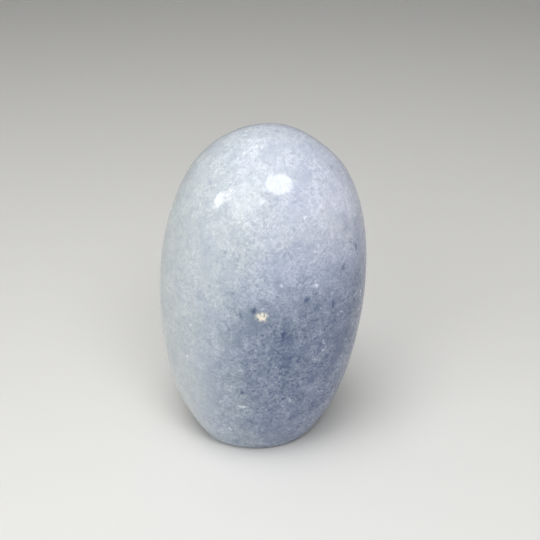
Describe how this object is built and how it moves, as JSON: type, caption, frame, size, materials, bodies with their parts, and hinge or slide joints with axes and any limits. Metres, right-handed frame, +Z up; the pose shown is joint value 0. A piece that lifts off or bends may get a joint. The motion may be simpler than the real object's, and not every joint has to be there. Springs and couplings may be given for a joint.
{
  "type": "blue calcite freeform",
  "caption": "Egg-shaped polished freeform of solid blue calcite that leans slightly and stands upright on a small ground flat, as a display stone.",
  "frame": {"origin": "on the table, under the middle of the stone's box", "axes": "+Z up through the stone's crown, +X along its width, towards the side that its top leans to, and -Y towards the front, the broad face that the picture shows"},
  "size_m": [0.0784, 0.0656, 0.127],
  "materials": {
    "polished_calcite": "polished pale blue calcite, milky on one side and bluer on the other, with a sugary grain of whitish crystals, sparse deep blue grains and a few cream flecks"
  },
  "bodies": {
    "root": {"stone": "polished_calcite"}
  },
  "joints": []
}
